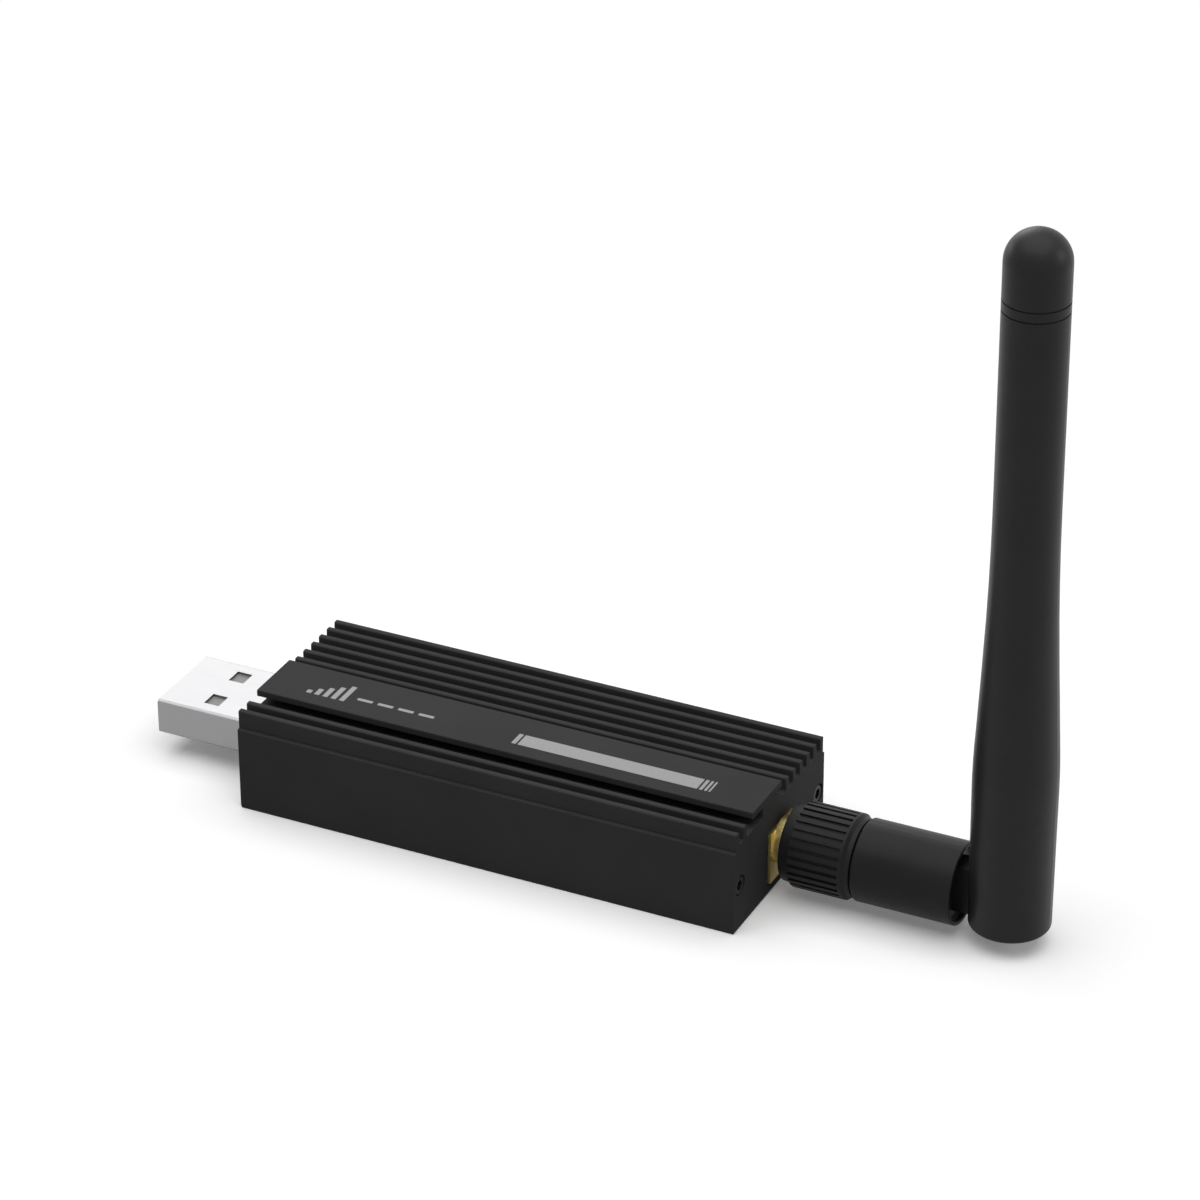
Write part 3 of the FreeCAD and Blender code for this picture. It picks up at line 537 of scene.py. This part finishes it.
# The jack is turned and milled from brass and gold plated. Its flange keeps the mill's faint lines
# under the plating, so its shine is broken up along the height of the flange.
plated, tree = new_material("gold_plated_brass")
place = add_node(tree, "ShaderNodeTexCoord").outputs["Object"]
milled_at = add_node(tree, "ShaderNodeMapping", {"Scale": (3000, 3000, 250)}, {"Vector": place})
milled = add_node(
    tree, "ShaderNodeTexNoise", {"Scale": 1.0, "Detail": 2.0}, {"Vector": milled_at.outputs[0]},
)
tone = add_ramp(tree, milled.outputs[0], (0.3, "#c6b06c"), (0.7, "#d5c284"))
gloss = add_node(
    tree, "ShaderNodeMapRange", {"To Min": 0.3, "To Max": 0.42}, {"Value": milled.outputs[0]},
)
bump = add_node(
    tree, "ShaderNodeBump", {"Strength": 0.1, "Distance": 0.00001}, {"Height": milled.outputs[0]},
)
add_surface(
    tree, {"Metallic": 1.0},
    {"Base Color": tone.outputs[0], "Roughness": gloss.outputs[0], "Normal": bump.outputs[0]},
)
dress(["jack_body"], plated)


# White PTFE insulates the centre of the jack, the plug and the whip. It is turned from bar: waxy
# and slightly translucent, with fine rings left by the tool.
ptfe, tree = new_material("white_turned_ptfe")
place = add_node(tree, "ShaderNodeTexCoord").outputs["Object"]
rings = add_node(
    tree, "ShaderNodeTexWave", {"Scale": 1500.0, "bands_direction": "X"}, {"Vector": place},
)
tone = add_ramp(tree, rings.outputs[0], (0.0, "#e2e2df"), (1.0, "#eeeeec"))
bump = add_node(
    tree, "ShaderNodeBump", {"Strength": 0.15, "Distance": 0.00001}, {"Height": rings.outputs[0]},
)
add_surface(
    tree, {"Roughness": 0.42, "IOR": 1.38},
    {"Base Color": tone.outputs[0], "Normal": bump.outputs[0]},
)
dress(["jack_insulator", "antenna_plug_insulator", "whip_spacer"], ptfe)


# The nut's core and the ferrule are turned brass with black nickel plating, a dark warm metal that
# shows the rings of the turning.
black_nickel, tree = new_material("black_nickel_plated_brass")
place = add_node(tree, "ShaderNodeTexCoord").outputs["Object"]
rings = add_node(
    tree, "ShaderNodeTexWave", {"Scale": 1200.0, "Distortion": 0.8, "bands_direction": "X"},
    {"Vector": place},
)
tone = add_ramp(tree, rings.outputs[0], (0.0, "#38373a"), (1.0, "#4b494c"))
gloss = add_node(
    tree, "ShaderNodeMapRange", {"To Min": 0.25, "To Max": 0.4}, {"Value": rings.outputs[0]},
)
add_surface(tree, {"Metallic": 1.0}, {"Base Color": tone.outputs[0], "Roughness": gloss.outputs[0]})
dress(["antenna_nut", "antenna_ferrule"], black_nickel)


# The grip round the nut, the hinge body and the rod are moulded in black plastic from tools with a
# fine spark-eroded grain: matt, with faint clouds in the black.
roughness_spread = 0.05
for name, nodes, dark, pale, roughness, specular in (
    ("grip_nylon", ["antenna_nut_grip"], "#181819", "#1d1d1e", 0.5, 0.15),
    ("hinge_nylon", ["hinge_body"], "#1a1a1b", "#202021", 0.4, 0.12),
    ("rod_elastomer", ["antenna_sheath"], "#1c1c1d", "#222223", 0.4, 0.18),
):
    moulded, tree = new_material("black_" + name)
    place = add_node(tree, "ShaderNodeTexCoord").outputs["Object"]
    grain = add_node(
        tree, "ShaderNodeTexNoise", {"Scale": 6000.0, "Detail": 2.0}, {"Vector": place},
    )
    cloud = add_node(tree, "ShaderNodeTexNoise", {"Scale": 150.0, "Detail": 3.0}, {"Vector": place})
    tone = add_ramp(tree, cloud.outputs[0], (0.3, dark), (0.7, pale))
    gloss = add_node(
        tree, "ShaderNodeMapRange",
        {"To Min": roughness - roughness_spread, "To Max": roughness + roughness_spread},
        {"Value": grain.outputs[0]},
    )
    bump = add_node(
        tree, "ShaderNodeBump", {"Strength": 0.2, "Distance": 0.00002},
        {"Height": grain.outputs[0]},
    )
    add_surface(
        tree, {"IOR": 1.5, "Specular IOR Level": specular},
        {"Base Color": tone.outputs[0], "Roughness": gloss.outputs[0], "Normal": bump.outputs[0]},
    )
    dress(nodes, moulded)


# The lead is thin coaxial cable in a brown extruded jacket, smooth and glossy, with a faint
# pattern where the braid below presses through.
jacket, tree = new_material("brown_extruded_jacket")
place = add_node(tree, "ShaderNodeTexCoord").outputs["Object"]
braid = add_node(
    tree, "ShaderNodeTexVoronoi", {"Scale": 3500.0, "Randomness": 0.4}, {"Vector": place},
)
tone = add_ramp(tree, braid.outputs["Distance"], (0.0, "#6b4428"), (1.0, "#553520"))
bump = add_node(
    tree, "ShaderNodeBump", {"Strength": 0.2, "Distance": 0.00002, "invert": True},
    {"Height": braid.outputs["Distance"]},
)
add_surface(
    tree, {"Roughness": 0.28, "IOR": 1.36},
    {"Base Color": tone.outputs[0], "Normal": bump.outputs[0]},
)
dress(["lead_in_hinge", "lead_in_rod"], jacket)


# The radiator is a drawn brass tube with a brass whip above it, both bare: a warm dull metal with
# lines along its length and brown spots of tarnish.
brass, tree = new_material("drawn_bare_brass")
place = add_node(tree, "ShaderNodeTexCoord").outputs["Object"]
drawn_at = add_node(tree, "ShaderNodeMapping", {"Scale": (6000, 6000, 100)}, {"Vector": place})
drawn = add_node(
    tree, "ShaderNodeTexNoise", {"Scale": 1.0, "Detail": 2.0}, {"Vector": drawn_at.outputs[0]},
)
tarnish = add_node(tree, "ShaderNodeTexNoise", {"Scale": 400.0, "Detail": 5.0}, {"Vector": place})
tone = add_ramp(tree, tarnish.outputs[0], (0.35, "#94703a"), (0.6, "#cfa558"))
gloss = add_node(
    tree, "ShaderNodeMapRange", {"To Min": 0.28, "To Max": 0.5}, {"Value": drawn.outputs[0]},
)
add_surface(tree, {"Metallic": 1.0}, {"Base Color": tone.outputs[0], "Roughness": gloss.outputs[0]})
dress(["radiator_tube", "radiator_whip"], brass)
